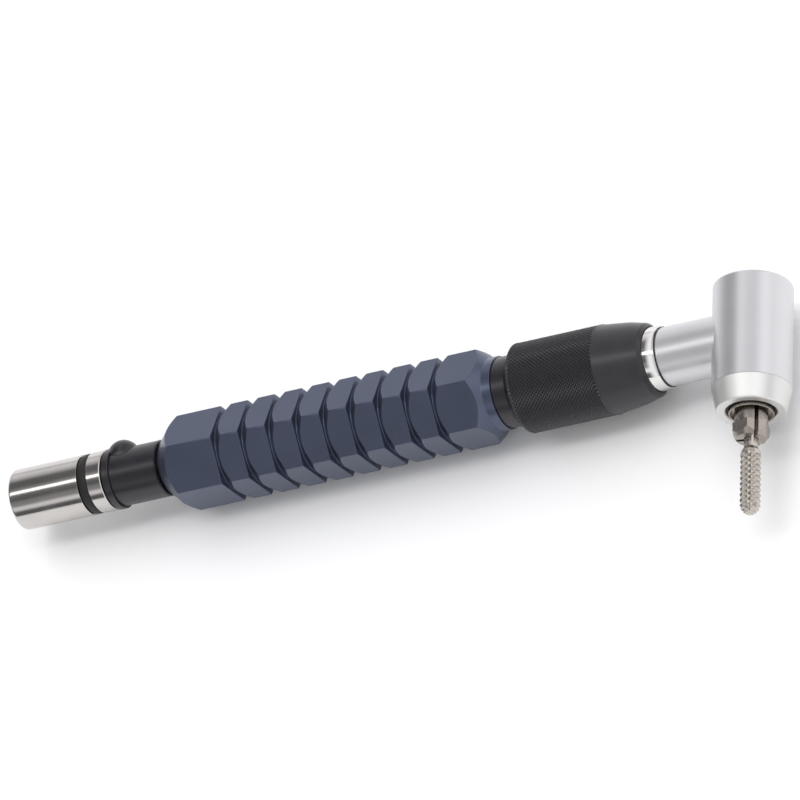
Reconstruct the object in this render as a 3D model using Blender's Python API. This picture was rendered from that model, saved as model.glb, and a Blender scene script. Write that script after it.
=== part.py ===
"""Right-angle air die grinder: hose adaptor, throttle ring, hexagon grip, angle head and burr.

The handle axis lies along X, with the head towards +X. The spindle axis lies along Y, with the
burr towards -Y. The two axes cross inside the head. Z is up, and the tool lies on one corner
line of its hexagon grip. The origin is on the ground, under the middle of the whole tool.

Turned pieces are given as (distance, radius) outlines in millimetres. On the handle axis the
distance runs back from the crossing point towards the hose, and on the spindle axis it runs
from the crossing point towards the burr.
"""

from math import atan, cos, pi, radians, sin, tau

import bmesh
import bpy
from mathutils import Matrix, Vector

MM = 0.001
CLEARANCE = 0.1            # radial play between neighbouring pieces
ROUND_SIDES = 24           # facets of a visible round piece
RACE_SIDES = 20            # facets of a bearing race
INNER_SIDES = 16           # facets of a hidden round piece
RACE_SHARE = 0.26          # share of a bearing's wall that each race takes up

# Handle axis, from the hose end to the head
ADAPTOR_END = 175.1
ADAPTOR_FRONT = 152.8
ADAPTOR_RADIUS = 6.58
ADAPTOR_EDGE = 0.8
BAND_REAR = 158.4
BAND_FRONT = 156.1
PORT_RADIUS = 3.4
PORT_DEPTH = 13.1
RING_REAR = 152.5
RING_STEP = 150.9
RING_FRONT = 139.8
RING_COLLAR_RADIUS = 6.6
RING_RADIUS = 6.1
LUG_POSITION = 149.1
LUG_ANGLE = 58.0           # from straight up towards +Y
LUG_HEIGHT = 7.9
LUG_WIDTH = 6.2
THROTTLE_TRAVEL = 60.0
STEM_RADIUS = 4.95
STEM_REAR = 160.8
STEM_FRONT = 129.5
STEM_BORE = 2.6
GRIP_REAR = 139.0
GRIP_FRONT = 58.5
GRIP_ACROSS_FLATS = 18.0
GRIP_FLAT_ANGLE = -34.5    # one flat's outward direction, from straight up towards +Y
GRIP_BOSS_RADIUS = 6.0
GRIP_NOSE_RADIUS = 7.95
GRIP_BORE = 6.6
GROOVE_COUNT = 9
GROOVE_PITCH = 6.5
FIRST_GROOVE = 124.0
GROOVE_FLOOR_RADIUS = 8.4
GROOVE_FLOOR_LENGTH = 0.4
GROOVE_RAMP_LENGTH = 2.3
BOSS_RADIUS = 7.66
NOSE_END = 33.0
NUT_REAR = 55.0
NUT_RADIUS = 9.75
NUT_LIP = 22.9
NUT_OPENING = 7.06
NECK_RADIUS = 6.34
NECK_COLLAR_REAR = 32.9
NECK_COLLAR_FRONT = 27.7
NECK_BORE = 4.6
NECK_RING_REAR = 27.5
NECK_RING_FRONT = 20.3
MOTOR_REAR = 98.0
MOTOR_FRONT = 66.0
ROTOR_RADIUS = 4.55
MOTOR_BORE = 5.2
MOTOR_OFFSET = 0.55
VANE_COUNT = 4
SHAFT_RADIUS = 1.6
BEVEL_SHAFT_RADIUS = 1.2

# Spindle axis, from the closed top of the head to the burr tip
HEAD_TOP = -12.1
HEAD_RADIUS = 8.6
HEAD_EDGE = 0.4
HEAD_BORE = 7.2
CAP_LINE = 12.3
CAP_END = 17.6
CAP_END_RADIUS = 7.45
CAP_OPENING = 5.47
SPINDLE_NOSE_RADIUS = 4.85
SPINDLE_END = 18.1
COLLET_BORE = 1.6
COLLET_NECK_RADIUS = 3.6
COLLET_HEX_START = 20.7
COLLET_END = 24.0
COLLET_ACROSS_FLATS = 7.2
COLLET_SLOT_ANGLE = 45.0   # first slot, from +X towards straight up
COLLET_SLOT_COUNT = 3
COLLET_SLOT_WIDTH = 0.9
SHANK_RADIUS = 1.5
BURR_START = 26.0
BURR_RADIUS = 2.27
BURR_TIP = 41.6

# Bevel gears: 12 teeth drive 18, with both pitch cones meeting where the axes cross
PINION_TEETH = 12
GEAR_TEETH = 18
GEAR_MODULE = 0.6
TOOTH_LENGTH = 0.34        # share of the cone distance that the teeth take up

FINISHES = {               # base colour, metallic, roughness
    "turned_steel": ((0.62, 0.62, 0.60), 1.0, 0.28),
    "ground_steel": ((0.45, 0.45, 0.44), 1.0, 0.35),
    "chrome_plate": ((0.78, 0.78, 0.78), 1.0, 0.10),
    "blue_anodise": ((0.060, 0.095, 0.145), 0.6, 0.38),
    "black_oxide": ((0.012, 0.012, 0.014), 0.7, 0.42),
    "satin_aluminium": ((0.55, 0.56, 0.57), 0.9, 0.42),
    "pale_aluminium": ((0.70, 0.71, 0.71), 0.9, 0.38),
    "black_rubber": ((0.008, 0.008, 0.008), 0.0, 0.60),
    "sintered_bronze": ((0.35, 0.20, 0.08), 0.8, 0.55),
    "brass": ((0.55, 0.38, 0.13), 1.0, 0.32),
    "vane_laminate": ((0.20, 0.11, 0.05), 0.0, 0.60),
    "carbide": ((0.33, 0.32, 0.30), 1.0, 0.30),
}


def clear_scene():
    for item in list(bpy.data.objects):
        bpy.data.objects.remove(item, do_unlink=True)


def empty(name, parent=None, location=(0, 0, 0), turn=None):
    item = bpy.data.objects.new(name, None)
    bpy.context.collection.objects.link(item)
    item.parent = parent
    item.location = Vector(location) * MM
    if turn:
        item.rotation_euler = turn.to_euler()
    return item


def material(name, finish):
    colour, metallic, roughness = FINISHES[finish]
    item = bpy.data.materials.new(name + "_" + finish)
    item.use_nodes = True
    shader = item.node_tree.nodes["Principled BSDF"]
    shader.inputs["Base Color"].default_value = (*colour, 1)
    shader.inputs["Metallic"].default_value = metallic
    shader.inputs["Roughness"].default_value = roughness
    item.diffuse_color = (*colour, 1)
    return item


def piece(name, mesh, axis, finish):
    """Make one named object of a mesh that is drawn along its axis."""
    data = bpy.data.meshes.new(name)
    mesh.to_mesh(data)
    mesh.free()
    data.shade_smooth()
    data.set_sharp_from_angle(angle=radians(30))
    data.materials.append(material(name, finish))
    item = bpy.data.objects.new(name, data)
    bpy.context.collection.objects.link(item)
    item.parent = axis
    return item


def shape(target, operation, mesh, axis=None):
    """Cut, join or trim an object with a mesh on the same axis, or on another one."""
    data = bpy.data.meshes.new(target.name + "_shaper")
    mesh.to_mesh(data)
    mesh.free()
    shaper = bpy.data.objects.new(data.name, data)
    bpy.context.collection.objects.link(shaper)
    shaper.parent = axis or target.parent
    shaper.hide_render = True
    shaper.display_type = "WIRE"
    modifier = target.modifiers.new(shaper.name, "BOOLEAN")
    modifier.operation = operation
    modifier.solver = "EXACT"
    modifier.object = shaper


def lathe(outline, sides=ROUND_SIDES):
    """Turn an outline about the axis. It closes on itself, or on the axis where it ends there."""
    mesh = bmesh.new()
    rim = [mesh.verts.new((radius * MM, 0, distance * MM)) for distance, radius in outline]
    edges = [mesh.edges.new(pair) for pair in zip(rim, rim[1:])]
    if outline[0][1] > 0:
        edges.append(mesh.edges.new((rim[-1], rim[0])))
    bmesh.ops.spin(mesh, geom=rim + edges, axis=(0, 0, 1), cent=(0, 0, 0), angle=tau,
                   steps=sides, use_merge=True)
    bmesh.ops.remove_doubles(mesh, verts=mesh.verts, dist=0.001 * MM)
    bmesh.ops.recalc_face_normals(mesh, faces=mesh.faces)
    return mesh


def tube(start, end, inner, outer, sides=INNER_SIDES):
    return lathe([(start, inner), (start, outer), (end, outer), (end, inner)], sides)


def rod(start, end, radius, sides=INNER_SIDES):
    return lathe([(start, 0), (start, radius), (end, radius), (end, 0)], sides)


def prism(outline, start, end):
    """Extrude a flat outline of (x, y) points along the axis."""
    mesh = bmesh.new()
    face = mesh.faces.new([mesh.verts.new((x * MM, y * MM, start * MM)) for x, y in outline])
    raised = bmesh.ops.extrude_face_region(mesh, geom=[face])
    top = [item for item in raised["geom"] if isinstance(item, bmesh.types.BMVert)]
    bmesh.ops.translate(mesh, verts=top, vec=(0, 0, (end - start) * MM))
    bmesh.ops.recalc_face_normals(mesh, faces=mesh.faces)
    return mesh


def polar(radius, angle):
    return radius * cos(radians(angle)), radius * sin(radians(angle))


def hexagon(across_flats, flat_angle):
    corner_radius = across_flats / 2 / cos(pi / 6)
    return [polar(corner_radius, flat_angle + 30 + 60 * side) for side in range(6)]


def sector(inner, outer, first, last, start, end, steps=6):
    """A block between two radii and two angles."""
    angles = [first + (last - first) * step / steps for step in range(steps + 1)]
    outline = [polar(outer, angle) for angle in angles]
    outline += [polar(inner, angle) for angle in reversed(angles)]
    return prism(outline, start, end)


def blade(inner, outer, width, angle, start, end):
    """A flat plate that stands radially on the axis."""
    corners = [(inner, -width / 2), (outer, -width / 2), (outer, width / 2), (inner, width / 2)]
    turn = Matrix.Rotation(radians(angle), 2)
    return prism([turn @ Vector(corner) for corner in corners], start, end)


def radial_rod(inner, outer, radius, angle, distance, sides=12):
    """A rod that points away from the axis at one place along it."""
    mesh = rod(inner, outer, radius, sides)
    place = (Matrix.Rotation(radians(angle), 4, "Z") @ Matrix.Translation((0, 0, distance * MM))
             @ Matrix.Rotation(pi / 2, 4, "Y"))
    bmesh.ops.transform(mesh, matrix=place, verts=mesh.verts)
    return mesh


def arc(centre, radius, first, last, steps):
    """Outline points on an arc, with angles from the outward direction towards +distance."""
    points = []
    for step in range(steps + 1):
        angle = radians(first + (last - first) * step / steps)
        points.append((centre[0] + radius * sin(angle), centre[1] + radius * cos(angle)))
    return points


def bearing(name, axis, start, width, bore, outer, balls=6):
    """A ball bearing as its two races and its balls in their cage."""
    race = RACE_SHARE * (outer - bore)
    end = start + width
    piece(name + "_inner_race", tube(start, end, bore, bore + race, RACE_SIDES), axis,
          "ground_steel")
    piece(name + "_outer_race", tube(start, end, outer - race, outer, RACE_SIDES), axis,
          "ground_steel")
    middle = (bore + outer) / 2
    ball = (outer - bore) / 2 - race - CLEARANCE
    piece(name + "_ball_cage", beads(middle, ball, (start + end) / 2, balls), axis, "brass")


def beads(middle, ball, distance, balls):
    """Balls on a ring that stands for their cage: a six-sided tube that swells at each ball."""
    stations = [(-1, 0.35), (-0.6, 0.8), (0, 1), (0.6, 0.8), (1, 0.35)]
    mesh = bmesh.new()
    loops = []
    for number in range(balls):
        for offset, swell in stations:
            angle = tau * number / balls + offset * ball / middle
            loop = []
            for corner in range(6):
                radius = middle + swell * ball * cos(tau * corner / 6)
                height = distance + swell * ball * sin(tau * corner / 6)
                spot = (radius * cos(angle) * MM, radius * sin(angle) * MM, height * MM)
                loop.append(mesh.verts.new(spot))
            loops.append(loop)
    close_loops(mesh, loops)
    return mesh


def close_loops(mesh, loops):
    """Join each loop of points to the next, and the last to the first."""
    for loop, after in zip(loops, loops[1:] + loops[:1]):
        for here in range(len(loop)):
            there = (here + 1) % len(loop)
            mesh.faces.new((loop[here], loop[there], after[there], after[here]))
    bmesh.ops.recalc_face_normals(mesh, faces=mesh.faces)


def bevel_gear(teeth, mate_teeth, phase, rings):
    """Straight bevel teeth on a cone about the axis, closed behind by rings of (distance, radius).

    Four points give each tooth: two at its root and two at its tip. The tooth stands between
    two spheres about the point where the axes cross.
    """
    cone_angle = atan(teeth / mate_teeth)
    cone_distance = GEAR_MODULE * teeth / 2 / sin(cone_angle)
    addendum = atan(0.8 * GEAR_MODULE / cone_distance)
    dedendum = atan(1.0 * GEAR_MODULE / cone_distance)
    pitch = tau / teeth
    corners = [(-0.34, -dedendum), (-0.13, addendum), (0.13, addendum), (0.34, -dedendum)]
    loops = []
    mesh = bmesh.new()
    for reach in (cone_distance * (1 - TOOTH_LENGTH), cone_distance):
        loop = []
        for tooth in range(teeth):
            for share, rise in corners:
                angle = phase + (tooth + share) * pitch
                across = reach * sin(cone_angle + rise) * MM
                along = reach * cos(cone_angle + rise) * MM
                loop.append(mesh.verts.new((across * cos(angle), across * sin(angle), along)))
        loops.append(loop)
    for distance, radius in rings:
        loop = []
        for tooth in range(teeth):
            for share, _ in corners:
                angle = phase + (tooth + share) * pitch
                spot = (radius * cos(angle) * MM, radius * sin(angle) * MM, distance * MM)
                loop.append(mesh.verts.new(spot))
        loops.append(loop)
    close_loops(mesh, loops)
    return mesh


def hose_end(handle):
    front_cavity = STEM_RADIUS + CLEARANCE
    outline = [(ADAPTOR_END - PORT_DEPTH, PORT_RADIUS), (ADAPTOR_END - 0.8, PORT_RADIUS),
               (ADAPTOR_END, PORT_RADIUS + 0.8)]
    outline += arc((ADAPTOR_END - ADAPTOR_EDGE, ADAPTOR_RADIUS - ADAPTOR_EDGE),
                   ADAPTOR_EDGE, 90, 0, 3)
    outline += [(BAND_REAR, ADAPTOR_RADIUS), (BAND_REAR, 5.7), (BAND_FRONT, 5.7),
                (BAND_FRONT, ADAPTOR_RADIUS), (ADAPTOR_FRONT + 0.2, ADAPTOR_RADIUS),
                (ADAPTOR_FRONT, ADAPTOR_RADIUS - 0.2), (ADAPTOR_FRONT, front_cavity),
                (ADAPTOR_END - PORT_DEPTH, front_cavity)]
    piece("hose_adaptor", lathe(outline), handle, "turned_steel")
    piece("adaptor_band", tube(BAND_FRONT + 0.1, BAND_REAR - 0.1, 5.8, 6.5, ROUND_SIDES),
          handle, "black_rubber")
    piece("inlet_filter", rod(STEM_REAR + 0.15, ADAPTOR_END - PORT_DEPTH - 0.1, STEM_RADIUS),
          handle, "sintered_bronze")


def throttle(handle):
    # The stem's bore is blind from both ends. Air goes round the wall between them, out of the
    # rear port and back in at the front one, when the ring's pocket stands over both.
    wall_rear, wall_front = 147.6, 144.4
    seal_places = {"valve_seal_front": 140.9, "valve_seal_rear": 151.4}
    groove_radius, groove_half = 4.2, 0.7
    port_places = (142.9, 149.3)
    port_angle = 180.0
    pin_angle = -60.0
    pin_radius = 0.6
    pin_place = (wall_rear + wall_front) / 2
    outline = [(wall_front, 0), (wall_front, STEM_BORE), (STEM_FRONT, STEM_BORE),
               (STEM_FRONT, STEM_RADIUS)]
    for place in seal_places.values():
        outline += [(place - groove_half, STEM_RADIUS), (place - groove_half, groove_radius),
                    (place + groove_half, groove_radius), (place + groove_half, STEM_RADIUS)]
    outline += [(STEM_REAR, STEM_RADIUS), (STEM_REAR, STEM_BORE), (wall_rear, STEM_BORE),
                (wall_rear, 0)]
    stem = piece("valve_stem", lathe(outline, INNER_SIDES), handle, "black_oxide")
    for place in port_places:
        shape(stem, "DIFFERENCE", radial_rod(1.5, 6, 0.8, port_angle, place))
    shape(stem, "DIFFERENCE", radial_rod(3.2, 6, pin_radius + CLEARANCE, pin_angle, pin_place))
    piece("throttle_stop_pin", radial_rod(3.3, 5.45, pin_radius, pin_angle, pin_place), handle,
          "ground_steel")
    for name, place in seal_places.items():
        section = arc((place, 4.6), 0.31, 0, 300, 5)
        piece(name, lathe(section, INNER_SIDES), handle, "black_rubber")

    outline = [(RING_FRONT, 0), (RING_FRONT, RING_RADIUS - 0.2), (RING_FRONT + 0.2, RING_RADIUS),
               (RING_STEP, RING_RADIUS), (RING_STEP, RING_COLLAR_RADIUS),
               (RING_REAR, RING_COLLAR_RADIUS), (RING_REAR, 0)]
    ring = piece("throttle_ring", lathe(outline), handle, "black_oxide")
    half = LUG_WIDTH / 2
    rise = LUG_HEIGHT - RING_RADIUS
    dome = (half ** 2 + rise ** 2) / (2 * rise)
    lug = bmesh.new()
    x, y = polar(LUG_HEIGHT - dome, LUG_ANGLE)
    centre = Vector((x, y, LUG_POSITION)) * MM
    bmesh.ops.create_uvsphere(lug, u_segments=16, v_segments=12, radius=dome * MM,
                              matrix=Matrix.Translation(centre))
    shape(ring, "UNION", lug)
    shape(ring, "DIFFERENCE", rod(RING_FRONT - 3, RING_REAR + 3, STEM_RADIUS + CLEARANCE))
    pocket_middle = port_angle - THROTTLE_TRAVEL
    shape(ring, "DIFFERENCE",
          sector(4.6, 5.6, pocket_middle - 25, pocket_middle + 25, port_places[0] - 1,
                 port_places[1] + 1))
    play = 9.0             # degrees that the pin's own width takes up in its slot
    shape(ring, "DIFFERENCE",
          sector(4.6, 5.65, pin_angle - THROTTLE_TRAVEL - play, pin_angle + play,
                 pin_place - pin_radius - 0.15, pin_place + pin_radius + 0.15))


def grip(handle):
    """A turned body with a bore and nine saw-tooth grooves, trimmed to a hexagon."""
    over_corners = GRIP_ACROSS_FLATS / 2 / cos(pi / 6) + 0.25
    outline = [(GRIP_REAR, GRIP_BOSS_RADIUS),
               (GRIP_REAR - (over_corners - GRIP_BOSS_RADIUS), over_corners)]
    for groove in range(GROOVE_COUNT):
        wall = FIRST_GROOVE - groove * GROOVE_PITCH
        ramp = wall - GROOVE_FLOOR_LENGTH
        outline += [(wall, over_corners), (wall, GROOVE_FLOOR_RADIUS),
                    (ramp, GROOVE_FLOOR_RADIUS), (ramp - GROOVE_RAMP_LENGTH, over_corners)]
    nose_rear = 60.55
    outline += [(nose_rear + over_corners - GRIP_NOSE_RADIUS, over_corners),
                (nose_rear, GRIP_NOSE_RADIUS), (GRIP_FRONT, GRIP_NOSE_RADIUS),
                (GRIP_FRONT, GRIP_BORE), (STEM_FRONT - 0.2, GRIP_BORE),
                (STEM_FRONT - 0.2, STEM_RADIUS + CLEARANCE), (GRIP_REAR, STEM_RADIUS + CLEARANCE)]
    body = piece("grip_housing", lathe(outline), handle, "blue_anodise")
    shape(body, "INTERSECT",
          prism(hexagon(GRIP_ACROSS_FLATS, GRIP_FLAT_ANGLE), GRIP_FRONT - 5, GRIP_REAR + 5))


def motor(handle):
    bore_radius = GRIP_BORE - CLEARANCE
    plate = 3.9
    bearing_width = 2.6
    bearing_outer = 4.0
    seat = bearing_outer + CLEARANCE
    race_bore = SHAFT_RADIUS + CLEARANCE
    shaft_front, shaft_rear = 51.2, 101.8
    piece("motor_spacer", tube(MOTOR_REAR + 4.2, STEM_FRONT - 0.3, 5.4, bore_radius), handle,
          "satin_aluminium")
    cylinder = piece("motor_cylinder", rod(MOTOR_FRONT, MOTOR_REAR, bore_radius), handle,
                     "ground_steel")
    bore = rod(MOTOR_FRONT - 2, MOTOR_REAR + 2, MOTOR_BORE, ROUND_SIDES)
    bmesh.ops.translate(bore, verts=bore.verts, vec=(MOTOR_OFFSET * MM, 0, 0))
    shape(cylinder, "DIFFERENCE", bore)
    rear = MOTOR_REAR + 0.1
    piece("rear_end_plate",
          lathe([(rear, 2.4), (rear, bore_radius), (rear + plate, bore_radius),
                 (rear + plate, seat), (rear + 1.1, seat), (rear + 1.1, 2.4)], INNER_SIDES),
          handle, "ground_steel")
    bearing("rotor_rear_bearing", handle, rear + 1.3, bearing_width, race_bore, bearing_outer)
    front = MOTOR_FRONT - 0.1
    piece("front_end_plate",
          lathe([(front, 2.4), (front, bore_radius), (front - plate, bore_radius),
                 (front - plate, seat), (front - 1.1, seat), (front - 1.1, 2.4)], INNER_SIDES),
          handle, "ground_steel")
    bearing("rotor_front_bearing", handle, front - 1.3 - bearing_width, bearing_width, race_bore,
            bearing_outer)

    slot_width, slot_floor = 1.0, 2.0
    outline = [(shaft_front, 0), (shaft_front, SHAFT_RADIUS), (MOTOR_FRONT + 0.1, SHAFT_RADIUS),
               (MOTOR_FRONT + 0.1, ROTOR_RADIUS), (MOTOR_REAR - 0.1, ROTOR_RADIUS),
               (MOTOR_REAR - 0.1, SHAFT_RADIUS), (shaft_rear, SHAFT_RADIUS), (shaft_rear, 0)]
    rotor = piece("rotor", lathe(outline, INNER_SIDES), handle, "ground_steel")
    for vane in range(VANE_COUNT):
        angle = 45 + 360 * vane / VANE_COUNT
        shape(rotor, "DIFFERENCE",
              blade(slot_floor, 6, slot_width, angle, MOTOR_FRONT - 1, MOTOR_REAR + 1))
        piece("vane_%d" % (vane + 1),
              blade(slot_floor + 0.15, 4.45, slot_width - 2 * CLEARANCE, angle,
                    MOTOR_FRONT + 0.3, MOTOR_REAR - 0.3), handle, "vane_laminate")


def head_joint(handle, spindle):
    """The threaded nose, its union nut, and the neck that the nut clamps."""
    thread = BOSS_RADIUS + CLEARANCE
    piece("nose_bush",
          lathe([(61.9, 3.6), (61.9, GRIP_BORE - CLEARANCE), (58.4, GRIP_BORE - CLEARANCE),
                 (58.4, BOSS_RADIUS), (NOSE_END, BOSS_RADIUS), (NOSE_END, 5.6), (58.4, 5.6),
                 (58.4, 3.6)]), handle, "black_oxide")
    outline = [(NUT_REAR, thread), (NUT_REAR, 8.3), (NUT_REAR - 1.3, NUT_RADIUS),
               (33.5, NUT_RADIUS), (32.6, 9.5), (29.7, 9.2), (26.8, 8.8), (25.4, 8.45),
               (23.6, 8.0), (NUT_LIP, NUT_OPENING + 0.25), (NUT_LIP, NUT_OPENING),
               (NECK_COLLAR_FRONT - 0.2, NUT_OPENING), (NECK_COLLAR_FRONT - 0.2, thread)]
    piece("union_nut", lathe(outline), handle, "black_oxide")
    ring_bore = NECK_RADIUS + 0.06
    piece("neck_ring",
          lathe([(NECK_RING_FRONT, ring_bore), (NECK_RING_FRONT, 6.6), (20.6, 6.75),
                 (22.4, 6.95), (NECK_RING_REAR, 6.95), (NECK_RING_REAR, ring_bore)]), handle,
          "chrome_plate")
    piece("neck_seal", tube(19.95, NECK_RING_FRONT - 0.1, ring_bore, 6.52, ROUND_SIDES), handle,
          "black_rubber")
    collar = BOSS_RADIUS - 0.06
    neck = piece("neck_tube",
                 lathe([(3.0, NECK_BORE), (3.0, NECK_RADIUS), (NECK_COLLAR_FRONT, NECK_RADIUS),
                        (NECK_COLLAR_FRONT, collar), (NECK_COLLAR_REAR, collar),
                        (NECK_COLLAR_REAR, NECK_BORE)]), handle, "satin_aluminium")
    shape(neck, "DIFFERENCE", rod(-12, 12, HEAD_BORE + CLEARANCE, ROUND_SIDES), spindle)


def drive_line(handle):
    piece("drive_shaft",
          lathe([(4.2, 0), (4.2, BEVEL_SHAFT_RADIUS), (9.1, BEVEL_SHAFT_RADIUS),
                 (9.1, SHAFT_RADIUS), (50.8, SHAFT_RADIUS), (50.8, 0)], INNER_SIDES), handle,
          "ground_steel")
    race_bore = SHAFT_RADIUS + CLEARANCE
    piece("shaft_coupling", tube(46.0, 55.5, race_bore, 3.2), handle, "ground_steel")
    seat = NECK_BORE - CLEARANCE
    bearing("neck_rear_bearing", handle, 29.6, 3.0, race_bore, seat)
    bearing("neck_front_bearing", handle, 10.6, 3.0, race_bore, seat)
    piece("bearing_spacer", tube(13.8, 29.4, 3.7, seat), handle, "satin_aluminium")
    bore = BEVEL_SHAFT_RADIUS + CLEARANCE
    rings = [(6.4, 3.0), (8.9, 2.6), (8.9, bore), (4.0, bore)]
    towards_gear = pi / 2
    piece("bevel_pinion", bevel_gear(PINION_TEETH, GEAR_TEETH, towards_gear, rings), handle,
          "ground_steel")


def angle_head(handle, spindle, spindle_up):
    head = piece("head_housing",
                 lathe([(HEAD_TOP, 0), (HEAD_TOP, HEAD_RADIUS - HEAD_EDGE),
                        (HEAD_TOP + HEAD_EDGE, HEAD_RADIUS), (CAP_LINE - 0.05, HEAD_RADIUS),
                        (CAP_LINE - 0.05, HEAD_BORE), (-6.9, HEAD_BORE), (-6.9, 5.1),
                        (-10.3, 5.1), (-10.3, 0)]), spindle, "satin_aluminium")
    shape(head, "DIFFERENCE", rod(2, 12, NECK_RADIUS + CLEARANCE, ROUND_SIDES), handle)
    edge = 0.4
    spigot = HEAD_BORE - CLEARANCE
    piece("bearing_cap",
          lathe([(10.1, CAP_OPENING), (10.1, spigot), (CAP_LINE + 0.05, spigot),
                 (CAP_LINE + 0.05, HEAD_RADIUS - 0.02), (CAP_END - edge, CAP_END_RADIUS + 0.08),
                 (CAP_END, CAP_END_RADIUS - edge), (CAP_END, CAP_OPENING)]), spindle,
          "pale_aluminium")
    piece("dust_seal", tube(13.4, CAP_END - 0.3, SPINDLE_NOSE_RADIUS + 0.1, CAP_OPENING - 0.09,
                            ROUND_SIDES), spindle, "black_rubber")
    bearing("spindle_upper_bearing", spindle, -10.1, 3.0, 2.1, 5.0)
    bearing("spindle_lower_bearing", spindle, 5.7, 4.2, 4.1, spigot, 8)
    journal, seat = 2.0, 2.3
    outline = [(-10.2, 0), (-10.2, journal), (-6.95, journal), (-6.95, seat), (5.2, seat),
               (5.2, 4.0), (10.4, 4.0), (10.4, SPINDLE_NOSE_RADIUS),
               (SPINDLE_END, SPINDLE_NOSE_RADIUS), (SPINDLE_END, 4.6), (17.2, 4.5),
               (17.2, 2.9), (6.5, 2.9), (6.5, 0)]
    piece("spindle", lathe(outline), spindle, "ground_steel")
    rings = [(5.2, 4.9), (6.7, 3.6), (6.7, seat + CLEARANCE), (2.9, seat + CLEARANCE)]
    space_towards_pinion = pi / GEAR_TEETH
    piece("bevel_gear", bevel_gear(GEAR_TEETH, PINION_TEETH, space_towards_pinion, rings),
          spindle_up, "ground_steel")


def tool_end(spindle):
    body = 2.8
    hex_corner = COLLET_ACROSS_FLATS / 2 / cos(pi / 6)
    chamfer_start = COLLET_END - 1.6
    outline = [(7.0, COLLET_BORE), (7.0, body), (17.3, body), (17.3, COLLET_NECK_RADIUS),
               (COLLET_HEX_START, COLLET_NECK_RADIUS), (COLLET_HEX_START, hex_corner + 0.1),
               (chamfer_start, hex_corner + 0.1), (COLLET_END, 3.2), (COLLET_END, COLLET_BORE)]
    collet = piece("collet", lathe(outline), spindle, "ground_steel")
    shape(collet, "INTERSECT",
          prism(hexagon(COLLET_ACROSS_FLATS, COLLET_SLOT_ANGLE), 6, COLLET_END + 1))
    for slot in range(COLLET_SLOT_COUNT):
        angle = COLLET_SLOT_ANGLE + 360 * slot / COLLET_SLOT_COUNT
        shape(collet, "DIFFERENCE", blade(0.5, 6, COLLET_SLOT_WIDTH, angle, 11, COLLET_END + 1))
    outline = [(8.5, 0), (8.5, SHANK_RADIUS), (BURR_START, SHANK_RADIUS),
               (BURR_START + 0.8, 2.0), (BURR_START + 1.7, BURR_RADIUS)]
    outline += arc((BURR_TIP - BURR_RADIUS, 0), BURR_RADIUS, 0, 75, 5)
    outline.append((BURR_TIP, 0))
    piece("burr", lathe(outline, INNER_SIDES), spindle, "carbide")


def main():
    clear_scene()
    half_length = (ADAPTOR_END - HEAD_RADIUS) / 2
    half_width = (BURR_TIP + HEAD_TOP) / 2
    lowest_corner = min(x for x, _ in hexagon(GRIP_ACROSS_FLATS, GRIP_FLAT_ANGLE))
    tool = empty("tool", location=(half_length, half_width, -lowest_corner))
    # Local Z is the turning axis. Local X is straight up on the handle and +X on the spindle.
    along_handle = Matrix(((0, 0, -1), (0, 1, 0), (1, 0, 0)))
    along_spindle = Matrix(((1, 0, 0), (0, 0, -1), (0, 1, 0)))
    against_spindle = Matrix(((-1, 0, 0), (0, 0, 1), (0, 1, 0)))
    handle = empty("handle_axis", tool, turn=along_handle)
    spindle = empty("spindle_axis", tool, turn=along_spindle)
    spindle_up = empty("spindle_axis_up", tool, turn=against_spindle)
    hose_end(handle)
    throttle(handle)
    grip(handle)
    motor(handle)
    head_joint(handle, spindle)
    drive_line(handle)
    angle_head(handle, spindle, spindle_up)
    tool_end(spindle)


main()
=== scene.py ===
"""Looks for the right-angle air die grinder: turned pieces, finishes, floor, light and camera.

The handle axis lies along X with the head towards +X, and the spindle axis lies along Y with the
burr towards -Y. Turned pieces are drawn about their own axis and then laid on the tool. On the
handle the distance runs back from the point where the two axes cross, and on the spindle it runs
from that point towards the burr.
"""

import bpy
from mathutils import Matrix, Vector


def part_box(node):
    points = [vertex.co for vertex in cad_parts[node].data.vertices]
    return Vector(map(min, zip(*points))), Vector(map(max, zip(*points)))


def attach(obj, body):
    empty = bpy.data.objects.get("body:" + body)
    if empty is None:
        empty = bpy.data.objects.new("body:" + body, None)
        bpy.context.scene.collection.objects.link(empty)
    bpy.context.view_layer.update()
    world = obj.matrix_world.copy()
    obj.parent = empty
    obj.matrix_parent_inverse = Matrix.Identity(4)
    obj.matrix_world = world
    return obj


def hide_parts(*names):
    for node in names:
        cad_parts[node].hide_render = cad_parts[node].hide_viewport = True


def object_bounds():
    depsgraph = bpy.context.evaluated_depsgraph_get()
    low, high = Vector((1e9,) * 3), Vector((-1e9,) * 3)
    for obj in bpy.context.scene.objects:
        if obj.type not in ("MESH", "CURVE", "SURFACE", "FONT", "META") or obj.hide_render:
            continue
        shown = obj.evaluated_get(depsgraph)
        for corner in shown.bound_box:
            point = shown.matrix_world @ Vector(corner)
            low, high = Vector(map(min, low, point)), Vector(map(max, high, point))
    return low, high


bl_info = {
    "name": "Angle die grinder",
    "version": (1, 0, 0),
    "blender": (4, 5, 0),
    "location": "View3D > Sidebar > Die Grinder",
    "description": "Builds the finished pieces of a right-angle air die grinder on its frame",
    "category": "Object",
}

from math import atan2, cos, hypot, pi, radians, sin, tau

import bmesh
import bpy
from bpy.props import FloatProperty, FloatVectorProperty, IntProperty, PointerProperty
from mathutils import Matrix, Vector

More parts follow.
